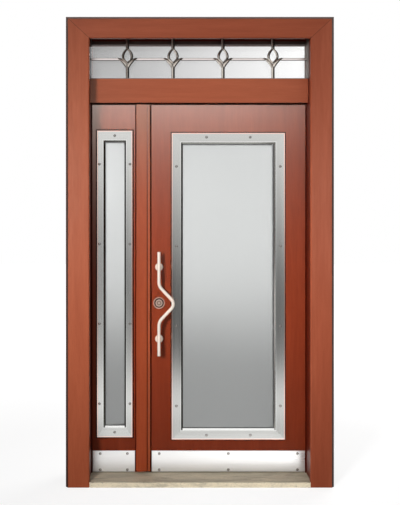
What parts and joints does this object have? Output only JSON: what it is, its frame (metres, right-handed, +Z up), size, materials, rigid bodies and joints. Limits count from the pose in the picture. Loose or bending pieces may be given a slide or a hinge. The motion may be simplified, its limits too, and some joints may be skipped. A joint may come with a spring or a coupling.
{
  "type": "timber entrance door set",
  "caption": "Double-leaf entrance door set: wide main leaf on hinges, narrow fixed-shut side leaf, fanlight with tulip grille, mitred casings and a stone threshold.",
  "frame": {"origin": "on the floor under the stone threshold, at mid-width, in the plane of the wall's outer face", "axes": "+X to the right as seen from outside, +Y into the building, +Z up"},
  "size_m": [1.478, 0.291, 2.591],
  "materials": {
    "threshold_stone": "honed",
    "frame_wood": "satin lacquer",
    "rail_wood": "satin lacquer",
    "casing_wood": "satin lacquer",
    "leaf_wood": "satin lacquer",
    "strip_wood": "satin lacquer",
    "fan_lining": "satin",
    "fan_glass": "frosted",
    "frosted_glass": "frosted",
    "fan_bar": "satin",
    "fan_rod": "satin",
    "trim_steel": "brushed",
    "kick_steel": "brushed",
    "pull_bar": "satin",
    "rosette_steel": "satin",
    "lock_cylinder": "satin",
    "hinge_steel": "satin"
  },
  "bodies": {
    "frame": {"threshold": "threshold_stone", "jamb_left": "frame_wood", "jamb_right": "frame_wood", "frame_head": "frame_wood", "transom_rail": "rail_wood", "casing_left": "casing_wood", "casing_right": "casing_wood", "casing_head": "casing_wood", "inner_casing_left": "casing_wood", "inner_casing_right": "casing_wood", "inner_casing_head": "casing_wood", "fan_lining_head": "fan_lining", "fan_lining_left": "fan_lining", "fan_lining_right": "fan_lining", "fan_lining_sill": "fan_lining", "fan_glass": "fan_glass", "fan_beads": "frame_wood", "fan_bar": "fan_bar", "fan_rod_1": "fan_rod", "fan_rod_2": "fan_rod", "fan_rod_3": "fan_rod", "fan_rod_4": "fan_rod", "side_leaf": "leaf_wood", "side_glass": "frosted_glass", "side_trim_outer": "trim_steel", "side_trim_inner": "trim_steel", "side_kick_outer": "kick_steel", "side_kick_inner": "kick_steel", "cover_strip": "strip_wood", "side_hinges": "hinge_steel", "strike_plate": "hinge_steel", "flush_bolts": "hinge_steel", "main_hinge_posts": "hinge_steel"},
    "main_leaf": {"main_leaf": "leaf_wood", "main_glass": "frosted_glass", "main_trim_outer": "trim_steel", "main_trim_inner": "trim_steel", "main_kick_outer": "kick_steel", "main_kick_inner": "kick_steel", "pull_bar_outer": "pull_bar", "pull_bar_inner": "pull_bar", "pull_posts_outer": "rosette_steel", "pull_posts_inner": "rosette_steel", "lock_rosette_outer": "rosette_steel", "lock_rosette_inner": "rosette_steel", "lock_cylinder": "lock_cylinder", "lock_faceplate": "hinge_steel", "main_hinge_flaps": "hinge_steel"}
  },
  "joints": [
    {"name": "main_leaf_hinge", "type": "hinge", "parent": "frame", "child": "main_leaf", "pos_m": [0.629, 0.211, 1], "axis": [0, 0, -1], "range_deg": [0, 110]}
  ]
}
